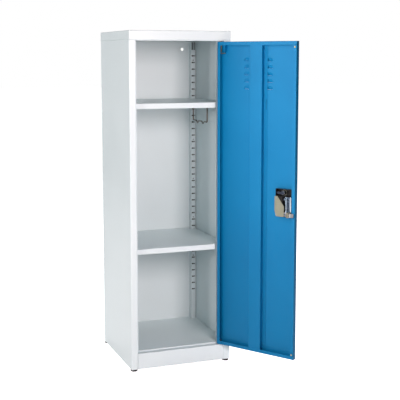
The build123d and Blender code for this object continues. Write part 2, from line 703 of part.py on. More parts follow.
pin_base = (Align.CENTER, Align.CENTER, Align.MIN)
with BuildPart() as top_hinge_pin:
    with Locations((PIVOT_X, PIVOT_Y, TOP_PIN_TAIL - PIN_RADIUS)):
        Cylinder(PIN_RADIUS, TOP_PIN_TIP - TOP_PIN_TAIL + PIN_RADIUS, align=pin_base)
    chamfer(top_hinge_pin.edges().sort_by(Axis.Z)[-1], length=PIN_POINT)
    with Locations((PIVOT_X, PIVOT_Y, COLLAR_BOTTOM)):
        Cylinder(COLLAR_RADIUS, COLLAR_HEIGHT, align=pin_base)
    with BuildLine() as tail_path:
        FilletPolyline(
            (PIVOT_X, PIVOT_Y, TOP_PIN_TAIL),
            (PIVOT_X, PIVOT_Y + TAIL_SETBACK, TOP_PIN_TAIL),
            (PIVOT_X - TAIL_LENGTH, PIVOT_Y + TAIL_SETBACK, TOP_PIN_TAIL),
            radius=TAIL_BEND,
        )
    with BuildSketch(Plane.XZ.offset(-PIVOT_Y)):
        with Locations((PIVOT_X, TOP_PIN_TAIL)):
            Circle(TAIL_RADIUS)
    sweep(path=tail_path.wire())
write_piece(top_hinge_pin, "top_hinge_pin", on_door=True)

spring_bottom = BRACKET_BOTTOM + BRACKET_SHEET + SPRING_WIRE
spring_top = COLLAR_BOTTOM - SPRING_WIRE
spring_place = Location((PIVOT_X, PIVOT_Y, spring_bottom))


def coil_spring(place, radius, wire, turns, length):
    """A round-wire compression spring standing along the place's Z axis."""
    with BuildPart() as upright_spring:
        with BuildLine() as coil:
            Helix(pitch=length / turns, height=length, radius=radius)
        with BuildSketch(Plane(origin=coil.line @ 0, z_dir=coil.line % 0)):
            Circle(wire)
        sweep(path=coil.wire(), is_frenet=True)
    with BuildPart() as spring:
        add(upright_spring.part.moved(place))
    return spring


top_pin_spring = coil_spring(
    spring_place, SPRING_COIL_RADIUS, SPRING_WIRE, SPRING_TURNS, spring_top - spring_bottom
)
write_piece(top_pin_spring, "top_pin_spring", on_door=True)

# ---------------------------------------------------------------- bottom hinge
plate_top = PLINTH_TOP - SHEET
collar_top = PLINTH_TOP + BOTTOM_COLLAR_HEIGHT
with BuildPart() as bottom_hinge_plate:
    plate_low = (PIVOT_X - PLATE_LENGTH, SHEET + BEND, plate_top - PLATE_THICK)
    box_between(plate_low, (rail_half - 1, STILE_RETURN - RETURN_GAP, plate_top))
    with Locations((PIVOT_X, PIVOT_Y, plate_top)):
        Cylinder(RIVET_RADIUS, 3 * PLATE_THICK, mode=Mode.SUBTRACT)
write_piece(bottom_hinge_plate, "bottom_hinge_plate")

pin_bottom = plate_top - PLATE_THICK - RIVET_HEAD_HEIGHT
with BuildPart() as bottom_hinge_pin:
    with Locations((PIVOT_X, PIVOT_Y, pin_bottom)):
        Cylinder(RIVET_RADIUS, PLINTH_TOP - pin_bottom, align=pin_base)
        Cylinder(RIVET_HEAD_RADIUS, RIVET_HEAD_HEIGHT, align=pin_base)
    with Locations((PIVOT_X, PIVOT_Y, PLINTH_TOP)):
        Cylinder(PIN_RADIUS, BOTTOM_PIN_TIP - PLINTH_TOP, align=pin_base)
        Cylinder(bush_radius, BOTTOM_COLLAR_HEIGHT, align=pin_base)
    chamfer(bottom_hinge_pin.edges().sort_by(Axis.Z)[-1], length=PIN_POINT)
write_piece(bottom_hinge_pin, "bottom_hinge_pin")

with BuildPart() as bottom_hinge_bush:
    with Locations((PIVOT_X, PIVOT_Y, collar_top + PIN_CLEARANCE)):
        flange_height = DOOR_BOTTOM - collar_top - PIN_CLEARANCE
        Cylinder(bush_radius + BUSH_FLANGE, flange_height, align=pin_base)
        Cylinder(bush_radius, BUSH_TOP - collar_top - PIN_CLEARANCE, align=pin_base)
        Cylinder(PIN_RADIUS + PIN_CLEARANCE, BUSH_TOP, align=pin_base, mode=Mode.SUBTRACT)
write_piece(bottom_hinge_bush, "bottom_hinge_bush", on_door=True)

# ---------------------------------------------------------------- lock housing
wall_top = LOCK_BAY_TOP + LOCK_WALL
inner_free = LOCK_FREE_SIDE + LOCK_WALL
inner_hinge = LOCK_HINGE_SIDE - LOCK_WALL
inner_bottom = LOCK_BOTTOM + LOCK_WALL
rib_free = LOCK_RIB_X - LOCK_WALL / 2
rib_hinge = LOCK_RIB_X + LOCK_WALL / 2
beyond = DOOR_THICK + 1
ledge_bottom = BOLT_TOP + LOCK_PLAY
with BuildPart() as lock_housing:
    bezel_low = (LOCK_FREE_SIDE - LOCK_RIM, -LOCK_BEZEL, LOCK_BOTTOM - LOCK_RIM)
    box_between(bezel_low, (LOCK_HINGE_SIDE + LOCK_RIM, 0, LOCK_TOP + LOCK_RIM))
    fillet(lock_housing.edges().filter_by(Axis.Y), radius=LOCK_RIM)
    fillet(lock_housing.faces().sort_by(Axis.Y)[0].edges(), radius=LOCK_WALL)
    box_between((LOCK_FREE_SIDE, 0, LOCK_BOTTOM), (LOCK_HINGE_SIDE, DOOR_THICK, LOCK_TOP))
    # the bays either side of the rib, open at the front to the paddle and at the rear
    box_between((inner_free, SHEET, inner_bottom), (rib_free, beyond, LOCK_BAY_TOP), mode=Mode.SUBTRACT)
    box_between((rib_hinge, SHEET, inner_bottom), (inner_hinge, beyond, LOCK_BAY_TOP), mode=Mode.SUBTRACT)
    opening_low = (inner_free + 1, -beyond, LOCK_OPENING_BOTTOM)
    opening_high = (inner_hinge - 1, LOCK_RIB_FRONT, LOCK_BAY_TOP)
    box_between(opening_low, opening_high, mode=Mode.SUBTRACT)
    # the key bay above
    key_bay_high = (inner_hinge, beyond, LOCK_TOP - LOCK_WALL)
    box_between((inner_free, LOCK_WALL, wall_top), key_bay_high, mode=Mode.SUBTRACT)
    with Locations(Location((KEY_X, 0, KEY_HEIGHT), (90, 0, 0))):
        Cylinder(KEY_BARREL_RADIUS + PIN_CLEARANCE, 4 * LOCK_BEZEL, mode=Mode.SUBTRACT)
    # passage for the bolt's tail and spring through the rib
    passage_low = (rib_free - 1, BOLT_STEM_FRONT - LOCK_PLAY, inner_bottom)
    box_between(passage_low, (rib_hinge + 1, beyond, ledge_bottom), mode=Mode.SUBTRACT)
    # the closed back of the finger recess, above the bolt's spring
    box_between((rib_hinge, LOCK_CUP_BACK, LOCK_CUP_BOTTOM), (inner_hinge, DOOR_THICK, wall_top))
    # the ledge over the bolt, and the screw bosses
    ledge_high = (BOLT_RISER_X + 2 * LOCK_WALL, DOOR_THICK, ledge_bottom + LOCK_WALL)
    box_between((inner_free, BOLT_STEM_FRONT, ledge_bottom), ledge_high)
    for level in SCREW_LEVELS:
        with BuildSketch(Plane.XZ.offset(-LOCK_RIB_FRONT)):
            with Locations((SCREW_X, level)):
                Circle(SCREW_HEAD_RADIUS + BOSS_MARGIN)
        extrude(amount=-(DOOR_THICK - LOCK_RIB_FRONT))
    # the seat that the bolt's spring presses against, beside the lower boss
    seat_low = (SPRING_SEAT_X, BOLT_STEM_FRONT - 1, LOCK_BOTTOM)
    box_between(seat_low, (SPRING_SEAT_X + LOCK_WALL, DOOR_THICK, BOLT_TOP))
    with BuildSketch(Plane.XZ.offset(-DOOR_THICK)):
        with Locations(*[(SCREW_X, level) for level in SCREW_LEVELS]):
            Circle(SCREW_SHANK_RADIUS)
    extrude(amount=SCREW_LENGTH + RETURN_GAP, mode=Mode.SUBTRACT)
    for bore_bottom in (LOCK_BOTTOM - LOCK_WALL, LOCK_BAY_TOP - LOCK_WALL):
        with Locations((PADDLE_PIVOT_X, PADDLE_PIVOT_Y, bore_bottom)):
            Cylinder(PADDLE_PIN_RADIUS, 3 * LOCK_WALL, align=pin_base, mode=Mode.SUBTRACT)
write_piece(lock_housing, "lock_housing", on_door=True)

with BuildPart() as paddle_pivot_pin:
    with Locations((PADDLE_PIVOT_X, PADDLE_PIVOT_Y, LOCK_BOTTOM)):
        Cylinder(PADDLE_PIN_RADIUS, wall_top - LOCK_BOTTOM, align=pin_base)
write_piece(paddle_pivot_pin, "paddle_pivot_pin", on_door=True)

# ---------------------------------------------------------------- paddle handle
barrel_bottom = inner_bottom + 1
with BuildPart() as paddle_handle:
    plate_front = PADDLE_SINK - PADDLE_THICK
    paddle_low = (PADDLE_FREE_EDGE, plate_front, LOCK_OPENING_BOTTOM + PADDLE_END_GAP)
    box_between(paddle_low, (PADDLE_FINGER_EDGE, PADDLE_SINK, LOCK_BAY_TOP - PADDLE_END_GAP))
    fillet(paddle_handle.edges().filter_by(Axis.Y), radius=LOCK_CORNER)
    fillet(paddle_handle.faces().sort_by(Axis.Y)[0].edges(), radius=LOCK_EDGE)
    with Locations((PADDLE_PIVOT_X, PADDLE_PIVOT_Y, barrel_bottom)):
        Cylinder(PADDLE_BARREL_RADIUS, LOCK_BAY_TOP - 1 - barrel_bottom, align=pin_base)
    arm_half = ARM_THICK / 2
    for (arm_bottom, arm_top), tip in ((ARM_LEVELS, ARM_TIP), (BLOCKER_LEVELS, BLOCKER_TIP)):
        arm_low = (PADDLE_PIVOT_X - arm_half, PADDLE_PIVOT_Y, arm_bottom)
        box_between(arm_low, (PADDLE_PIVOT_X + arm_half, tip, arm_top))
    with Locations((PADDLE_PIVOT_X, PADDLE_PIVOT_Y, LOCK_BOTTOM)):
        bore_radius = PADDLE_PIN_RADIUS + PIN_CLEARANCE
        Cylinder(bore_radius, LOCK_TOP - LOCK_BOTTOM, align=pin_base, mode=Mode.SUBTRACT)
write_piece(paddle_handle, "paddle_handle", on_door=True)

# ---------------------------------------------------------------- latch bolt, guide and spring
with BuildPart() as latch_bolt:
    stem_low = (BOLT_FREE_X, BOLT_STEM_FRONT, BOLT_BOTTOM)
    box_between(stem_low, (BOLT_STEM_END, BOLT_STEM_REAR, BOLT_TOP))
    box_between(stem_low, (BOLT_RISER_X, BOLT_BACK_Y, BOLT_TOP))
    with BuildSketch(Plane.XY.offset(BOLT_BOTTOM)):
        with BuildLine():
            Polyline(
                (BOLT_FREE_X, BOLT_CATCH_Y),
                (BOLT_NOSE_X, BOLT_CATCH_Y),
                (BOLT_NOSE_X, BOLT_CATCH_Y + BOLT_NOSE_FLAT),
                (BOLT_NOSE_X + BOLT_NOSE_LENGTH, BOLT_BACK_Y),
                (BOLT_FREE_X, BOLT_BACK_Y),
                close=True,
            )
        make_face()
    extrude(amount=BOLT_TOP - BOLT_BOTTOM)
    window_low = (PADDLE_PIVOT_X - BOLT_WINDOW_HALF, 0, BOLT_BOTTOM + BOLT_WINDOW_RIM)
    window_high = (PADDLE_PIVOT_X + BOLT_WINDOW_HALF, BOLT_BACK_Y, BOLT_TOP - BOLT_WINDOW_RIM)
    box_between(window_low, window_high, mode=Mode.SUBTRACT)
write_piece(latch_bolt, "latch_bolt", on_door=True)

guide_top = ledge_bottom + LOCK_WALL
guide_roof = BOLT_BACK_Y + SHEET_GAP
with BuildPart() as bolt_guide:
    guide_high = (BOLT_RISER_X - 1, guide_roof + GUIDE_THICK, guide_top)
    box_between((BOLT_FREE_X + 1, DOOR_THICK, LOCK_BOTTOM), guide_high)
    fillet(bolt_guide.edges().filter_by(Axis.X).group_by(Axis.Y)[-1], radius=BEND)
    channel_low = (BOLT_FREE_X, 0, LOCK_BOTTOM + GUIDE_THICK)
    box_between(channel_low, (BOLT_RISER_X, guide_roof, guide_top - GUIDE_THICK), mode=Mode.SUBTRACT)
write_piece(bolt_guide, "bolt_guide", on_door=True)

bolt_spring_y = (BOLT_STEM_FRONT + BOLT_STEM_REAR) / 2
bolt_spring_z = (BOLT_BOTTOM + BOLT_TOP) / 2
bolt_spring_start = BOLT_STEM_END + SPRING_WIRE
bolt_spring_length = SPRING_SEAT_X - SPRING_WIRE - bolt_spring_start
bolt_spring_place = Location((bolt_spring_start, bolt_spring_y, bolt_spring_z), (0, 90, 0))
bolt_spring = coil_spring(
    bolt_spring_place, BOLT_COIL_RADIUS, SPRING_WIRE, BOLT_COIL_TURNS, bolt_spring_length
)
write_piece(bolt_spring, "bolt_spring", on_door=True)

# ---------------------------------------------------------------- finger plate and its screws
plate_outline = [
    (FINGER_PLATE_HINGE_X, FINGER_PLATE_TOP - 1),
    (FINGER_PLATE_NECK_X, FINGER_PLATE_TOP),
    (FINGER_PLATE_FREE_X, FINGER_PLATE_WAIST),
    (FINGER_PLATE_FREE_X, LOCK_BOTTOM),
    (FINGER_PLATE_FOOT_X, LOCK_BOTTOM),
    (FINGER_PLATE_HINGE_X, FINGER_PLATE_KNEE),
]
with BuildPart() as finger_plate:
    with BuildSketch(Plane.XZ.offset(-DOOR_THICK)):
        with BuildLine():
            FilletPolyline(*plate_outline, radius=LOCK_CORNER, close=True)
        make_face()
        with Locations(*[(SCREW_X, level) for level in SCREW_LEVELS]):
            Circle(SCREW_SHANK_RADIUS, mode=Mode.SUBTRACT)
    extrude(amount=-FINGER_PLATE_SHEET)
write_piece(finger_plate, "finger_plate", on_door=True)

with BuildPart() as finger_plate_screws:
    for level in SCREW_LEVELS:
        with BuildSketch(Plane.XZ.offset(-DOOR_THICK - FINGER_PLATE_SHEET)):
            with Locations((SCREW_X, level)):
                Circle(SCREW_SHANK_RADIUS)
        extrude(amount=SCREW_LENGTH)
        with BuildSketch(Plane.XZ.offset(-DOOR_THICK - FINGER_PLATE_SHEET)):
            with Locations((SCREW_X, level)):
                Circle(SCREW_HEAD_RADIUS)
        extrude(amount=-SCREW_HEAD_HEIGHT)
    head_rims = finger_plate_screws.edges().filter_by(GeomType.CIRCLE).group_by(Axis.Y)[-1]
    fillet(head_rims, radius=LOCK_EDGE)
    recess_length, recess_width, recess_depth = SCREW_RECESS
    with BuildSketch(Plane.XZ.offset(-DOOR_THICK - FINGER_PLATE_SHEET - SCREW_HEAD_HEIGHT)):
        with Locations(*[(SCREW_X, level) for level in SCREW_LEVELS]):
            Rectangle(recess_length, recess_width)
            Rectangle(recess_width, recess_length)
    extrude(amount=recess_depth, mode=Mode.SUBTRACT)
write_piece(finger_plate_screws, "finger_plate_screws", on_door=True)

# ---------------------------------------------------------------- key lock
key_plane = Plane.XZ.shift_origin((KEY_X, 0, KEY_HEIGHT))
with BuildPart() as key_barrel:
    with BuildSketch(key_plane.offset(-KEY_FRONT)):
        Circle(KEY_BARREL_RADIUS + KEY_RIM)
    extrude(amount=KEY_FRONT + LOCK_BEZEL)
    fillet(key_barrel.edges().group_by(Axis.Y)[0], radius=LOCK_EDGE)
    with BuildSketch(key_plane.offset(-KEY_FRONT)):
        Circle(KEY_BARREL_RADIUS)
    extrude(amount=KEY_FRONT - BARREL_REAR)
    with BuildSketch(key_plane.offset(-KEY_FRONT + 1)):
        Circle(KEY_PLUG_RADIUS + PIN_CLEARANCE)
    extrude(amount=KEY_FRONT - CAM_FRONT, mode=Mode.SUBTRACT)
write_piece(key_barrel, "key_barrel", on_door=True)

with BuildPart() as key_barrel_nut:
    with BuildSketch(key_plane.offset(-LOCK_WALL)):
        RegularPolygon(KEY_BARREL_RADIUS + NUT_MARGIN, 6)
        Circle(KEY_BARREL_RADIUS, mode=Mode.SUBTRACT)
    extrude(amount=-NUT_THICK)
write_piece(key_barrel_nut, "key_barrel_nut", on_door=True)

with BuildPart() as key_plug:
    with BuildSketch(key_plane.offset(-KEY_FRONT + KEY_FACE_SINK)):
        Circle(KEY_PLUG_RADIUS)
    extrude(amount=KEY_FRONT - KEY_FACE_SINK - CAM_FRONT)
    chamfer(key_plug.edges().group_by(Axis.Y)[0], length=LOCK_EDGE)
    with BuildSketch(key_plane.offset(-KEY_FRONT + KEY_FACE_SINK)):
        Rectangle(*KEY_SLOT_SIZE)
    extrude(amount=-KEY_SLOT_DEPTH, mode=Mode.SUBTRACT)
write_piece(key_plug, "key_plug", on_door=True)

# The cam points to the hinge side when unlocked; turned down, it stops the paddle's blocker.
with BuildPart() as key_cam:
    with BuildSketch(key_plane.offset(-CAM_FRONT)):
        Circle(KEY_PLUG_RADIUS)
        with Locations((CAM_LENGTH / 2, 0)):
            SlotOverall(CAM_LENGTH, 2 * CAM_HALF)
    extrude(amount=-CAM_THICK)
write_piece(key_cam, "key_cam", on_door=True)

# ---------------------------------------------------------------- strike plate behind the left stile's lip
with BuildPart() as strike_plate:
    strike_low = (-UPRIGHT_FOOT + SHEET_GAP, STOP_LIP_BACK, STRIKE_BOTTOM)
    box_between(strike_low, (-LATCH_LIP_X + SHEET_GAP, STOP_LIP_BACK + STRIKE_SHEET, STRIKE_TOP))
    fillet(strike_plate.edges().filter_by(Axis.Y), radius=STRIKE_CORNER)
write_piece(strike_plate, "strike_plate")
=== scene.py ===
"""The single-door locker cabinet's looks: its finishes, spot welds, studio and camera."""

import json
import math

import bmesh
import bpy
from mathutils import Matrix, Vector


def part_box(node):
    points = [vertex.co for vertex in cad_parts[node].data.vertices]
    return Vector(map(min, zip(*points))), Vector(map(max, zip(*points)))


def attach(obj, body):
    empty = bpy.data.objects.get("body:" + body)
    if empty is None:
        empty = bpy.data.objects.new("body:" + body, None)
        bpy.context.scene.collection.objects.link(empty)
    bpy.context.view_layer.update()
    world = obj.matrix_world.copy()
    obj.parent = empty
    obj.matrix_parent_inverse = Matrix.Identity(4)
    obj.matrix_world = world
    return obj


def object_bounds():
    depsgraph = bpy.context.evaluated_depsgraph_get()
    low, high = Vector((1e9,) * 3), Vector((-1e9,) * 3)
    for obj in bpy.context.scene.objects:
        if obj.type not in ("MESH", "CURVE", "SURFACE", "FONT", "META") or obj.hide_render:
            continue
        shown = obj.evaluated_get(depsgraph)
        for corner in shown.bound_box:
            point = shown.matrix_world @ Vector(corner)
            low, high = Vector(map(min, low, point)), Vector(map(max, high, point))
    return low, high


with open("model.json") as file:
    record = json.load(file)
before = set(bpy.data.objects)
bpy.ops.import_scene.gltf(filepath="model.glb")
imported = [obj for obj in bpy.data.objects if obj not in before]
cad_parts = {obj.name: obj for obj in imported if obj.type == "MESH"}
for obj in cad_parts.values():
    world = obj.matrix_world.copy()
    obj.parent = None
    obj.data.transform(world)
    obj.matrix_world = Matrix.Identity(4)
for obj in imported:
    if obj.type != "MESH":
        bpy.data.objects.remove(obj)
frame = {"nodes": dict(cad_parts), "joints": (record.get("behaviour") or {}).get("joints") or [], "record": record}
cad_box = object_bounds()
record = frame["record"]

# ---------------------------------------------------------------- places read from the frame
hinge = next(joint for joint in frame["joints"] if joint["name"] == "door_hinge")
HINGE_POINT = Vector(hinge["pos_m"])
OPEN_ANGLE = math.radians(-hinge["range_deg"][0])
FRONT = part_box("plinth")[0].y
DOOR_SWING = (
    Matrix.Translation(HINGE_POINT) @ Matrix.Rotation(OPEN_ANGLE, 4, "Z") @ Matrix.Translation(-HINGE_POINT)
)


def on_door(x, depth, z):
    """A point of the shut door, given by its depth behind the front face, moved to where it is at rest."""
    return DOOR_SWING @ Vector((x, FRONT + depth, z))


DOOR_DEPTH_AXIS = on_door(0.0, 1.0, 0.0) - on_door(0.0, 0.0, 0.0)

# ---------------------------------------------------------------- node helpers
class Finish:
    """A material under construction: its node tree, its Principled shader and short ways to add nodes."""

    def __init__(self, name):
        self.material = bpy.data.materials.new(name)
        self.material.use_nodes = True
        self.tree = self.material.node_tree
        self.shader = self.tree.nodes["Principled BSDF"]
        self.coordinates = self.tree.nodes.new("ShaderNodeTexCoord").outputs["Object"]

    def link(self, source, target):
        self.tree.links.new(source, target)

    def constants(self, **values):
        """Sets the shader's own sockets; an underscore stands for a space."""
        for name, value in values.items():
            self.shader.inputs[name.replace("_", " ")].default_value = value

    def stretched(self, scale):
        """Object coordinates scaled by a different amount along each axis."""
        mapping = self.tree.nodes.new("ShaderNodeMapping")
        mapping.inputs["Scale"].default_value = scale
        self.link(self.coordinates, mapping.inputs["Vector"])
        return mapping.outputs["Vector"]

    def noise(self, scale, detail=2.0, roughness=0.5, vector=None):
        node = self.tree.nodes.new("ShaderNodeTexNoise")
        node.inputs["Scale"].default_value = scale
        node.inputs["Detail"].default_value = detail
        node.inputs["Roughness"].default_value = roughness
        self.link(vector or self.coordinates, node.inputs["Vector"])
        return node.outputs["Fac"]

    def ramp(self, factor, low, high, start=0.3, stop=0.7):
        """A two-colour ramp over part of the factor's range."""
        node = self.tree.nodes.new("ShaderNodeValToRGB")
        node.color_ramp.elements[0].position = start
        node.color_ramp.elements[0].color = (*low, 1.0)
        node.color_ramp.elements[1].position = stop
        node.color_ramp.elements[1].color = (*high, 1.0)
        self.link(factor, node.inputs["Fac"])
        return node.outputs["Color"]

    def levels(self, factor, low, high, start=0.3, stop=0.7):
        """A number that runs from low to high over part of the factor's range."""
        node = self.tree.nodes.new("ShaderNodeMapRange")
        for name, value in (("From Min", start), ("From Max", stop), ("To Min", low), ("To Max", high)):
            node.inputs[name].default_value = value
        self.link(factor, node.inputs["Value"])
        return node.outputs["Result"]

    def mix(self, factor, first, second, blend="MIX"):
        node = self.tree.nodes.new("ShaderNodeMix")
        node.data_type = "RGBA"
        node.blend_type = blend
        sockets = (node.inputs["Factor"], node.inputs[6], node.inputs[7])
        for socket, value in zip(sockets, (factor, first, second)):
            if isinstance(value, bpy.types.NodeSocket):
                self.link(value, socket)
            else:
                socket.default_value = value if isinstance(value, float) else (*value, 1.0)
        return node.outputs[2]

    def math(self, operation, first, second):
        node = self.tree.nodes.new("ShaderNodeMath")
        node.operation = operation
        for socket, value in zip(node.inputs, (first, second)):
            if isinstance(value, bpy.types.NodeSocket):
                self.link(value, socket)
            else:
                socket.default_value = value
        return node.outputs["Value"]

    def along(self, direction, origin):
        """The distance of the surface point from an origin, measured along a direction."""
        node = self.tree.nodes.new("ShaderNodeVectorMath")
        node.operation = "DOT_PRODUCT"
        node.inputs[1].default_value = direction
        self.link(self.coordinates, node.inputs[0])
        return self.math("SUBTRACT", node.outputs["Value"], Vector(direction).dot(Vector(origin)))

    def deeper_than(self, depth):
        """1 deeper in the door than a depth behind its front face, and 0 elsewhere."""
        return self.math("GREATER_THAN", self.along(DOOR_DEPTH_AXIS, on_door(0.0, depth, 0.0)), 0.0)

    def between(self, value, low, high):
        """1 where the value lies between two limits, and 0 elsewhere."""
        above = self.math("GREATER_THAN", value, low)
        return self.math("MULTIPLY", above, self.math("LESS_THAN", value, high))

    def bump(self, height, strength, distance, under=None):
        node = self.tree.nodes.new("ShaderNodeBump")
        node.inputs["Strength"].default_value = strength
        node.inputs["Distance"].default_value = distance
        self.link(height, node.inputs["Height"])
        if under is not None:
            self.link(under, node.inputs["Normal"])
        self.link(node.outputs["Normal"], self.shader.inputs["Normal"])
        return node.outputs["Normal"]


# ---------------------------------------------------------------- finishes
# Noise scales are per metre and bump distances are in metres, because object coordinates are in metres.
POWDER_CLOUD_SCALE = 3.5
POWDER_SPECKLE_SCALE = 900.0
POWDER_WAVE_SCALE = 2.2
POWDER_PEEL_SCALE = 420.0
POWDER_WAVE_STRENGTH = 0.25
POWDER_WAVE_DISTANCE = 0.004
POWDER_PEEL_DISTANCE = 0.0004
POWDER_ROUGHNESS_SPREAD = (-0.03, 0.05)
POWDER_COAT_ROUGHNESS = 0.12
SPECK_SHADE = 0.86
SPECK_AMOUNT = 0.35
SPECK_BAND = (0.58, 0.75)
# Nearly black painted shade for the hollow behind the uprights' slots.
POCKET_PAINTED_SHADE = (0.012, 0.013, 0.014)
# Nearly black painted shade for the recess behind the card holder's slit.
DEEP_PAINTED_SHADE = (0.0, 0.004, 0.02)
PLATING_CLOUD_SCALE = 45.0
PLATING_GRAIN_STRETCH = (1600.0, 1600.0, 90.0)
PLATING_GRAIN_BUMP = 0.05
PLATING_ROUGHNESS_SHARES = (0.75, 1.4)
# Nearly black painted shade for the lock housing's inner recess.
PLATING_PAINTED_SHADE = (0.016, 0.015, 0.015)
MOULDED_TEXTURE_SCALE = 1400.0
MOULDED_ROUGHNESS_SPREAD = 0.08
MOULDED_BUMP_DISTANCE = 0.0003
CARD_FIBRE_STRETCH = (900.0, 900.0, 2600.0)
CARD_FIBRE_SHADE = 0.93
CARD_FIBRE_BUMP = 0.15
CARD_ROUGHNESS = 0.85
FINE_BUMP_DISTANCE = 0.0002


def powder_coat(name, tone, shade, roughness, coat, peel, specular=0.5, pocket=None, painted_shade_beyond=None):
    """Stoved powder: a slight orange peel, a cloudy tone and a fine speckle under a thin gloss.

    Inside the pocket, given as its limits along X, Y and Z, the colour turns nearly black: painted shade for the
    hollow.
    Deeper in the door than the given depth it turns nearly black: painted shade in the recess.
    """
    finish = Finish(name)
    cloud = finish.noise(POWDER_CLOUD_SCALE, detail=3.0)
    speckle = finish.noise(POWDER_SPECKLE_SCALE, detail=1.0)
    colour = finish.ramp(cloud, shade, tone)
    dark_speck = tuple(SPECK_SHADE * channel for channel in tone)
    colour = finish.mix(finish.levels(speckle, 0.0, SPECK_AMOUNT, *SPECK_BAND), colour, dark_speck)
    if pocket:
        origin = (0.0, 0.0, 0.0)
        across = finish.math("ABSOLUTE", finish.along((1.0, 0.0, 0.0), origin), 0.0)
        inside = finish.between(across, *pocket[0])
        for axis, limits in (((0.0, 1.0, 0.0), pocket[1]), ((0.0, 0.0, 1.0), pocket[2])):
            inside = finish.math("MULTIPLY", inside, finish.between(finish.along(axis, origin), *limits))
        # Painted shade inside the pocket.
        colour = finish.mix(inside, colour, POCKET_PAINTED_SHADE)
    if painted_shade_beyond is not None:
        # Painted shade deeper in the door than the given depth.
        colour = finish.mix(finish.deeper_than(painted_shade_beyond), colour, DEEP_PAINTED_SHADE)
    finish.link(colour, finish.shader.inputs["Base Color"])
    smooth, rough = (roughness + change for change in POWDER_ROUGHNESS_SPREAD)
    finish.link(finish.levels(cloud, smooth, rough), finish.shader.inputs["Roughness"])
    swell = finish.noise(POWDER_WAVE_SCALE, detail=1.0)
    wave = finish.bump(swell, POWDER_WAVE_STRENGTH, POWDER_WAVE_DISTANCE)
    finish.bump(finish.noise(POWDER_PEEL_SCALE, detail=2.0), peel, POWDER_PEEL_DISTANCE, under=wave)
    finish.constants(
        Specular_IOR_Level=specular, Coat_Weight=coat, Coat_Roughness=POWDER_COAT_ROUGHNESS
    )
    return finish.material


def plated(name, tone, shade, roughness, brushed=0.0, painted_shade_beyond=None):
    """Bright plating: faint clouding and fine wipe marks along the height, deeper the more brushed it is.

    Deeper in the door than the given depth the plating gives way to a nearly black, non-metal painted shade.
    """
    finish = Finish(name)
    colour = finish.ramp(finish.noise(PLATING_CLOUD_SCALE, detail=3.0), shade, tone)
    grain = finish.noise(1.0, detail=4.0, roughness=0.65, vector=finish.stretched(PLATING_GRAIN_STRETCH))
    smooth, rough = (roughness * share for share in PLATING_ROUGHNESS_SHARES)
    finish.link(finish.levels(grain, smooth, rough), finish.shader.inputs["Roughness"])
    finish.bump(grain, PLATING_GRAIN_BUMP + brushed, FINE_BUMP_DISTANCE)
    if painted_shade_beyond is None:
        finish.constants(Metallic=1.0)
    else:
        deep = finish.deeper_than(painted_shade_beyond)
        # Painted shade deeper in the door than the given depth.
        colour = finish.mix(deep, colour, PLATING_PAINTED_SHADE)
        finish.link(finish.math("SUBTRACT", 1.0, deep), finish.shader.inputs["Metallic"])
    finish.link(colour, finish.shader.inputs["Base Color"])
    return finish.material


def moulded(name, tone, shade, roughness, grain):
    """Moulded rubber or plastic with a fine eroded texture."""
    finish = Finish(name)
    texture = finish.noise(MOULDED_TEXTURE_SCALE, detail=3.0)
    finish.link(finish.ramp(texture, shade, tone), finish.shader.inputs["Base Color"])
    smooth, rough = roughness - MOULDED_ROUGHNESS_SPREAD, roughness + MOULDED_ROUGHNESS_SPREAD
    finish.link(finish.levels(texture, smooth, rough), finish.shader.inputs["Roughness"])
    finish.bump(texture, grain, MOULDED_BUMP_DISTANCE)
    return finish.material


def paper(name, tone):
    """Uncoated card with a faint fibre."""
    finish = Finish(name)
    fibre = finish.noise(1.0, detail=5.0, roughness=0.7, vector=finish.stretched(CARD_FIBRE_STRETCH))
    shade = tuple(CARD_FIBRE_SHADE * channel for channel in tone)
    finish.link(finish.ramp(fibre, shade, tone), finish.shader.inputs["Base Color"])
    finish.bump(fibre, CARD_FIBRE_BUMP, FINE_BUMP_DISTANCE)
    finish.constants(Roughness=CARD_ROUGHNESS)
    return finish.material


# The hollow behind the slots of both rear uprights, taken from the right one and mirrored across X; its surfaces
# get painted shade.
# Its inner limit lies a little way in from the upright's edge, and the others a hair off the sheets' faces.
POCKET_WALL = 0.0069
POCKET_OUTSIDE = 0.0003
POCKET_FRONT = 0.0004
POCKET_BACK = 0.0004
POCKET_BOTTOM = 0.0002
POCKET_TOP = 0.0010
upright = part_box("rear_upright_right")
sheet_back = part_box("back_panel")[0].y
POCKET = (
    (upright[0].x + POCKET_WALL, upright[1].x + POCKET_OUTSIDE),
    (upright[0].y + POCKET_FRONT, sheet_back + POCKET_BACK),
    (upright[0].z + POCKET_BOTTOM, upright[1].z - POCKET_TOP),
)
DOOR_COAT = ((0.001, 0.210, 0.460), (0.001, 0.190, 0.430), 0.40, 0.0, 0.12, 0.25)
BRIGHT_CHROME = ((0.80, 0.80, 0.82), (0.70, 0.71, 0.73), 0.12)
ROD_STEEL = ((0.20, 0.19, 0.17), (0.13, 0.12, 0.11), 0.30)
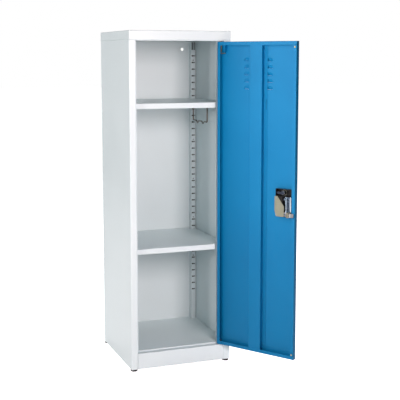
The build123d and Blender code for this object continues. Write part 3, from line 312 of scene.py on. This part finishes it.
FINISHES = {
    "carcass_paint": powder_coat(
        "carcass_paint", (0.665, 0.775, 0.795), (0.640, 0.752, 0.772), 0.36, 0.15, 0.12, pocket=POCKET
    ),
    "door_paint": powder_coat("door_paint", *DOOR_COAT),
    "chrome": plated("chrome", *BRIGHT_CHROME),
    "zinc_plate": plated("zinc_plate", (0.42, 0.42, 0.32), (0.36, 0.36, 0.27), 0.34, brushed=0.1),
    "bright_steel": plated("bright_steel", (0.70, 0.70, 0.70), (0.62, 0.62, 0.62), 0.24, brushed=0.08),
    "spring_steel": plated("spring_steel", (0.30, 0.30, 0.31), (0.22, 0.22, 0.23), 0.28),
    "brass": plated("brass", (0.80, 0.62, 0.28), (0.70, 0.52, 0.22), 0.25, brushed=0.05),
    "foot_rubber": moulded("foot_rubber", (0.018, 0.018, 0.019), (0.010, 0.010, 0.011), 0.55, 0.3),
    "bumper_rubber": moulded("bumper_rubber", (0.56, 0.48, 0.27), (0.46, 0.39, 0.21), 0.45, 0.1),
    "card": paper("card", (0.88, 0.88, 0.85)),
}

# Pieces whose own finish differs from the rest of their slot's.
NODE_FINISHES = {
    # The lock housing is dark past its rim: painted shade.
    "lock_housing": plated("lock_chrome_and_painted_shade", *BRIGHT_CHROME, painted_shade_beyond=0.0005),
    "paddle_handle": plated("paddle_chrome", (0.50, 0.60, 0.72), (0.40, 0.50, 0.62), 0.22),
    "key_barrel": plated("barrel_chrome", (0.20, 0.21, 0.24), (0.14, 0.15, 0.17), 0.20),
    "key_barrel_nut": plated("nut_plate", (0.34, 0.33, 0.27), (0.26, 0.25, 0.20), 0.30),
    "key_cam": plated("cam_steel", (0.10, 0.12, 0.17), (0.06, 0.08, 0.12), 0.25),
    "bolt_guide": plated("guide_plate", (0.34, 0.33, 0.26), (0.26, 0.25, 0.19), 0.34, brushed=0.1),
    "hanging_rod_left": plated("rod_steel_left", *ROD_STEEL),
    "hanging_rod_right": plated("rod_steel_right", *ROD_STEEL),
    "top_hinge_pin": plated("pin_steel", (0.36, 0.31, 0.24), (0.24, 0.20, 0.16), 0.30, brushed=0.08),
    # The card holder's slit is dark behind the front: painted shade.
    "card_holder": powder_coat("holder_paint_and_painted_shade", *DOOR_COAT, painted_shade_beyond=-0.0009),
}

for part in record["subparts"]:
    node = frame["nodes"][part["node"]]
    node.data.materials.clear()
    node.data.materials.append(NODE_FINISHES.get(part["node"], FINISHES[part["material_slot"]]))


# ---------------------------------------------------------------- spot welds
# Each ring of a weld: its radius and its height above the sheet.
WELD_PROFILE = ((0.0026, 0.0), (0.0023, 0.00014), (0.0017, 0.00008), (0.0009, 0.00003))
WELD_SIDES = 20


def spot_welds(name, places, outward, body, slot):
    """Shallow craters with a raised rim, left where two sheets are welded together, as one mesh."""
    mesh = bpy.data.meshes.new(name)
    shape = bmesh.new()
    outward = Vector(outward).normalized()
    level = Vector((0.0, 0.0, 1.0))
    aside = level.cross(outward)
    for place in places:
        loops = []
        for radius, height in WELD_PROFILE:
            loop = []
            for step in range(WELD_SIDES):
                angle = 2 * math.pi * step / WELD_SIDES
                offset = aside * math.cos(angle) * radius + level * math.sin(angle) * radius
                loop.append(shape.verts.new(Vector(place) + offset + outward * height))
            loops.append(loop)
        for outer, inner in zip(loops, loops[1:]):
            for step in range(WELD_SIDES):
                after = (step + 1) % WELD_SIDES
                shape.faces.new((outer[step], outer[after], inner[after], inner[step]))
        shape.faces.new(loops[-1])
        shape.faces.new(reversed(loops[0]))
    bmesh.ops.recalc_face_normals(shape, faces=shape.faces)
    shape.to_mesh(mesh)
    shape.free()
    mesh.shade_smooth()
    welds = bpy.data.objects.new(name, mesh)
    bpy.context.scene.collection.objects.link(welds)
    mesh.materials.append(FINISHES[slot])
    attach(welds, body)
    return welds


# The stiffener's feet lie on the door's sheet, either side of the middle.
STIFFENER_WELD_LEVELS = [0.105 + 0.075 * step for step in range(12)] + [1.155]
STIFFENER_FOOT_FACE = 0.00162
STIFFENER_FOOT_X = 0.032
foot_welds = [
    on_door(x, STIFFENER_FOOT_FACE, z)
    for x in (-STIFFENER_FOOT_X, STIFFENER_FOOT_X)
    for z in STIFFENER_WELD_LEVELS
]
door_welds = spot_welds("stiffener_spot_welds", foot_welds, DOOR_DEPTH_AXIS, "door", "door_paint")

FLANGE_WELD_INSET = 0.0088
FLANGE_WELD_SINK = 0.00001
FLANGE_WELD_START = 0.060
FLANGE_WELD_PITCH = 0.109
FLANGE_WELD_COUNT = 11
back_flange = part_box("side_panel_right")[1]
flange_welds = [
    (
        side * (back_flange.x - FLANGE_WELD_INSET),
        back_flange.y - FLANGE_WELD_SINK,
        FLANGE_WELD_START + FLANGE_WELD_PITCH * step,
    )
    for side in (-1, 1)
    for step in range(FLANGE_WELD_COUNT)
]
spot_welds("flange_spot_welds", flange_welds, (0.0, 1.0, 0.0), "cabinet", "carcass_paint")

# ---------------------------------------------------------------- studio
DOOR_BODIES = [body for body in record["behaviour"]["bodies"] if body != "cabinet"]
FLOOR_HALF_WIDTH = 30.0
DOOR_STRIP_LENGTH = 0.9
AIR_COLOUR = (0.78, 1.0, 1.04, 1.0)
AIR_STRENGTH = 0.09
AROUND_HEIGHT = 0.6


def pale_floor():
    """A wide matt white floor under the feet, which also glows white, but only to the camera."""
    mesh = bpy.data.meshes.new("studio_floor")
    shape = bmesh.new()
    bmesh.ops.create_grid(shape, x_segments=8, y_segments=8, size=FLOOR_HALF_WIDTH)
    shape.to_mesh(mesh)
    shape.free()
    floor = bpy.data.objects.new("studio_floor", mesh)
    floor.location.z = cad_box[0].z
    bpy.context.scene.collection.objects.link(floor)
    finish = Finish("studio_floor")
    finish.constants(Base_Color=(0.92, 0.92, 0.92, 1.0), Roughness=0.9, Specular_IOR_Level=0.1)
    seen = finish.tree.nodes.new("ShaderNodeLightPath")
    finish.link(seen.outputs["Is Camera Ray"], finish.shader.inputs["Emission Strength"])
    finish.constants(Emission_Color=(1.0, 1.0, 1.0, 1.0))
    mesh.materials.append(finish.material)


def soft_light(name, place, target, size, power, tint=(1.0, 1.0, 1.0)):
    """A square soft box at a place, turned towards a target."""
    data = bpy.data.lights.new(name, "AREA")
    data.shape = "SQUARE"
    data.size = size
    data.energy = power
    data.color = tint
    lamp = bpy.data.objects.new(name, data)
    lamp.location = place
    lamp.rotation_euler = (Vector(target) - Vector(place)).to_track_quat("-Z", "Y").to_euler()
    bpy.context.scene.collection.objects.link(lamp)
    return lamp


def around(azimuth, elevation, distance):
    """A place seen from the cabinet's middle; azimuth 0 is in front of it and grows towards its left side."""
    a, e = math.radians(azimuth), math.radians(elevation)
    return (
        -distance * math.sin(a) * math.cos(e),
        -distance * math.cos(a) * math.cos(e),
        AROUND_HEIGHT + distance * math.sin(e),
    )


def keep_to_door(lamp, state):
    """Shines a lamp on the door's pieces only (INCLUDE), or on everything but them (EXCLUDE)."""
    pieces = bpy.data.collections.new(lamp.name + "_pieces")
    for body in DOOR_BODIES:
        for name in record["behaviour"]["bodies"][body]:
            pieces.objects.link(frame["nodes"][name])
    pieces.objects.link(door_welds)
    lamp.light_linking.receiver_collection = pieces
    for entry in pieces.collection_objects:
        entry.light_linking.link_state = state


pale_floor()
middle = (0.0, 0.0, 0.62)
front = soft_light(
    "front", (-0.05, -2.75, 1.32), (0.0, 0.0, 0.66), size=1.0, power=63.0, tint=(1.0, 0.83, 0.82)
)
keep_to_door(front, "EXCLUDE")
soft_light("key", around(59, 9.5, 5.0), middle, size=0.4, power=55.0, tint=(1.0, 0.90, 0.90))
soft_light("right_rear", around(-130, 38, 3.8), middle, size=1.8, power=95.0)
soft_light("left_rear", around(103, 20, 3.0), middle, size=1.6, power=50.0, tint=(1.0, 0.89, 0.88))
strip = soft_light(
    "door_strip", (-0.20, -0.80, 0.98), (0.27, -0.38, 0.92), size=0.3, power=3.6, tint=(0.93, 1.0, 1.0)
)
strip.data.shape = "RECTANGLE"
strip.data.size_y = DOOR_STRIP_LENGTH
strip.visible_camera = False
keep_to_door(strip, "INCLUDE")

# The air lights the scene faintly, and the camera sees white behind everything.
world = bpy.data.worlds.new("studio_air")
world.use_nodes = True
bpy.context.scene.world = world
sky = world.node_tree.nodes
air = sky["Background"]
air.inputs["Color"].default_value = AIR_COLOUR
air.inputs["Strength"].default_value = AIR_STRENGTH
backdrop = sky.new("ShaderNodeBackground")
backdrop.inputs["Color"].default_value = (1.0, 1.0, 1.0, 1.0)
backdrop.inputs["Strength"].default_value = 1.0
seen = sky.new("ShaderNodeLightPath")
choice = sky.new("ShaderNodeMixShader")
world.node_tree.links.new(seen.outputs["Is Camera Ray"], choice.inputs["Fac"])
world.node_tree.links.new(air.outputs["Background"], choice.inputs[1])
world.node_tree.links.new(backdrop.outputs["Background"], choice.inputs[2])
world.node_tree.links.new(choice.outputs["Shader"], sky["World Output"].inputs["Surface"])

# ---------------------------------------------------------------- camera
CAMERA_PLACE = (-1.105, -3.303, 1.129)
CAMERA_TURN = math.radians(20.72)
CAMERA_TILT = math.radians(-6.96)
CAMERA_LENS = 83.6
CAMERA_SHIFT = -0.075
SENSOR_WIDTH = 36.0

camera_data = bpy.data.cameras.new("camera")
camera_data.lens = CAMERA_LENS
camera_data.sensor_width = SENSOR_WIDTH
camera_data.shift_y = CAMERA_SHIFT
camera = bpy.data.objects.new("camera", camera_data)
camera.location = CAMERA_PLACE
camera.rotation_euler = (math.radians(90) + CAMERA_TILT, 0.0, -CAMERA_TURN)
bpy.context.scene.collection.objects.link(camera)
bpy.context.scene.camera = camera
bpy.context.scene.view_settings.view_transform = "Standard"
